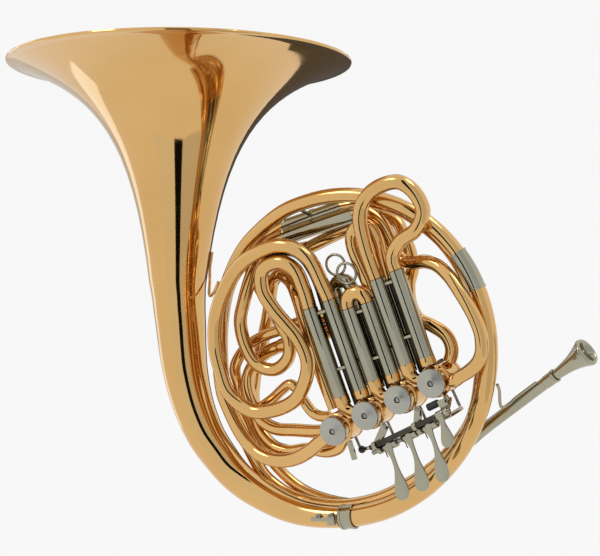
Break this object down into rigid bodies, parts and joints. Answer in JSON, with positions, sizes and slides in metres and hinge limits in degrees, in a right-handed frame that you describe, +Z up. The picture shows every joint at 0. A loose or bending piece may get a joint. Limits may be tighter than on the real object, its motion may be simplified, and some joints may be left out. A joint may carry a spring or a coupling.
{
  "type": "double french horn",
  "caption": "Double horn with a wide flared bell, an oval hoop, rotary valves with finger and thumb levers, and sliding tuning crooks.",
  "frame": {"origin": "middle of the row of rotary valves, halfway through the casings", "axes": "+X to the mouthpiece side, +Y from the valve caps to the back, +Z up"},
  "size_m": [0.5811, 0.3003, 0.4357],
  "materials": {
    "lacquered_brass": "polished, lacquered",
    "nickel_silver": "satin to polished",
    "steel": "polished"
  },
  "bodies": {
    "horn": {"bell_flare": "lacquered_brass", "bell_tail": "lacquered_brass", "garland": "nickel_silver", "second_branch": "lacquered_brass", "branch_ferrule": "nickel_silver", "first_branch": "lacquered_brass", "leadpipe": "nickel_silver", "leadpipe_branch": "lacquered_brass", "bell_brace": "lacquered_brass", "receiver": "nickel_silver", "leadpipe_brace": "nickel_silver", "f_loop_tube": "lacquered_brass", "tuning_bow": "lacquered_brass", "first_valve_arch": "lacquered_brass", "change_valve_loop": "lacquered_brass", "change_valve_knee": "lacquered_brass", "tuning_return": "lacquered_brass", "lever_rod": "steel", "lever_post_1": "nickel_silver", "lever_post_2": "nickel_silver", "thumb_bracket": "nickel_silver", "third_slide_legs": "nickel_silver", "second_slide_legs": "nickel_silver", "first_slide_legs": "nickel_silver", "low_third_slide_legs": "nickel_silver", "low_second_slide_legs": "nickel_silver", "change_valve_casing": "lacquered_brass", "third_valve_casing": "lacquered_brass", "second_valve_casing": "lacquered_brass", "first_valve_casing": "lacquered_brass", "change_valve_cap": "nickel_silver", "third_valve_cap": "nickel_silver", "second_valve_cap": "nickel_silver", "first_valve_cap": "nickel_silver"},
    "mouthpiece": {"mouthpiece": "nickel_silver"},
    "third_crook": {"third_slide_crook": "lacquered_brass"},
    "second_crook": {"second_slide_crook": "lacquered_brass"},
    "first_crook": {"first_slide_crook": "lacquered_brass"},
    "low_third_bow": {"low_third_slide_bow": "nickel_silver", "pull_ring_1": "nickel_silver", "pull_ring_2": "nickel_silver"},
    "low_second_crook": {"low_second_slide_crook": "lacquered_brass"},
    "main_tuning": {"main_tuning_bow": "lacquered_brass"},
    "f_tuning": {"f_tuning_crook": "lacquered_brass"},
    "change_rotor": {"change_valve_rotor": "steel", "change_stop_arm": "nickel_silver"},
    "change_link": {"change_link": "steel"},
    "thumb_lever": {"thumb_lever": "nickel_silver"},
    "third_rotor": {"third_valve_rotor": "steel", "third_stop_arm": "nickel_silver"},
    "third_link": {"third_link": "steel"},
    "third_lever": {"third_finger_lever": "nickel_silver"},
    "second_rotor": {"second_valve_rotor": "steel", "second_stop_arm": "nickel_silver"},
    "second_link": {"second_link": "steel"},
    "second_lever": {"second_finger_lever": "nickel_silver"},
    "first_rotor": {"first_valve_rotor": "steel", "first_stop_arm": "nickel_silver"},
    "first_link": {"first_link": "steel"},
    "first_lever": {"first_finger_lever": "nickel_silver"}
  },
  "joints": [
    {"name": "mouthpiece_slide", "type": "slide", "parent": "horn", "child": "mouthpiece", "axis": [0.7527, -0.0124, 0.6582], "range_m": [0, 0.03]},
    {"name": "third_crook_slide", "type": "slide", "parent": "horn", "child": "third_crook", "axis": [-0.3746, 0, 0.9272], "range_m": [0, 0.045]},
    {"name": "second_crook_slide", "type": "slide", "parent": "horn", "child": "second_crook", "axis": [-0.3746, 0, 0.9272], "range_m": [0, 0.035]},
    {"name": "first_crook_slide", "type": "slide", "parent": "horn", "child": "first_crook", "axis": [-0.3746, 0, 0.9272], "range_m": [0, 0.045]},
    {"name": "low_third_bow_slide", "type": "slide", "parent": "horn", "child": "low_third_bow", "axis": [-0.3746, 0, 0.9272], "range_m": [0, 0.03]},
    {"name": "low_second_crook_slide", "type": "slide", "parent": "horn", "child": "low_second_crook", "axis": [-0.3746, 0, 0.9272], "range_m": [0, 0.008]},
    {"name": "main_tuning_slide", "type": "slide", "parent": "horn", "child": "main_tuning", "axis": [0.9272, 0, 0.3746], "range_m": [0, 0.04]},
    {"name": "f_tuning_slide", "type": "slide", "parent": "horn", "child": "f_tuning", "axis": [-0.9275, 0, -0.3738], "range_m": [0, 0.005]},
    {"name": "thumb_lever_turn", "type": "hinge", "parent": "horn", "child": "thumb_lever", "pos_m": [0.01327, -0.021, -0.02236], "axis": [0.8599, 0, 0.5105], "range_deg": [0, 13], "stiffness_Nm_per_rad": 0.15, "springref_deg": -17.19},
    {"name": "change_rotor_turn", "type": "hinge", "parent": "horn", "child": "change_rotor", "pos_m": [-0.04501, 0, -0.02673], "axis": [0, 1, 0], "range_deg": [0, 90]},
    {"name": "change_link_slide", "type": "slide", "parent": "horn", "child": "change_link", "axis": [-0.5105, 0, 0.8599], "range_m": [0, 0.0088]},
    {"name": "third_lever_turn", "type": "hinge", "parent": "horn", "child": "third_lever", "pos_m": [0.01583, -0.016, -0.02666], "axis": [0.8599, 0, 0.5105], "range_deg": [0, 15], "stiffness_Nm_per_rad": 0.15, "springref_deg": -17.19},
    {"name": "third_rotor_turn", "type": "hinge", "parent": "horn", "child": "third_rotor", "pos_m": [-0.015, 0, -0.00891], "axis": [0, 1, 0], "range_deg": [0, 90]},
    {"name": "third_link_slide", "type": "slide", "parent": "horn", "child": "third_link", "axis": [-0.5105, 0, 0.8599], "range_m": [0, 0.0088]},
    {"name": "second_lever_turn", "type": "hinge", "parent": "horn", "child": "second_lever", "pos_m": [0.01583, -0.016, -0.02666], "axis": [0.8599, 0, 0.5105], "range_deg": [0, 15], "stiffness_Nm_per_rad": 0.15, "springref_deg": -17.19},
    {"name": "second_rotor_turn", "type": "hinge", "parent": "horn", "child": "second_rotor", "pos_m": [0.015, 0, 0.00891], "axis": [0, 1, 0], "range_deg": [0, 90]},
    {"name": "second_link_slide", "type": "slide", "parent": "horn", "child": "second_link", "axis": [-0.5105, 0, 0.8599], "range_m": [0, 0.0088]},
    {"name": "first_lever_turn", "type": "hinge", "parent": "horn", "child": "first_lever", "pos_m": [0.01583, -0.016, -0.02666], "axis": [0.8599, 0, 0.5105], "range_deg": [0, 15], "stiffness_Nm_per_rad": 0.15, "springref_deg": -17.19},
    {"name": "first_rotor_turn", "type": "hinge", "parent": "horn", "child": "first_rotor", "pos_m": [0.04501, 0, 0.02673], "axis": [0, 1, 0], "range_deg": [0, 90]},
    {"name": "first_link_slide", "type": "slide", "parent": "horn", "child": "first_link", "axis": [-0.5105, 0, 0.8599], "range_m": [0, 0.0088]}
  ],
  "couplings": [
    {"joint": "change_rotor_turn", "follows": "thumb_lever_turn", "ratio": 6.9231},
    {"joint": "change_link_slide", "follows": "thumb_lever_turn", "m_per_rad": 0.0388},
    {"joint": "third_rotor_turn", "follows": "third_lever_turn", "ratio": 6},
    {"joint": "third_link_slide", "follows": "third_lever_turn", "m_per_rad": 0.0336},
    {"joint": "second_rotor_turn", "follows": "second_lever_turn", "ratio": 6},
    {"joint": "second_link_slide", "follows": "second_lever_turn", "m_per_rad": 0.0336},
    {"joint": "first_rotor_turn", "follows": "first_lever_turn", "ratio": 6},
    {"joint": "first_link_slide", "follows": "first_lever_turn", "m_per_rad": 0.0336}
  ]
}
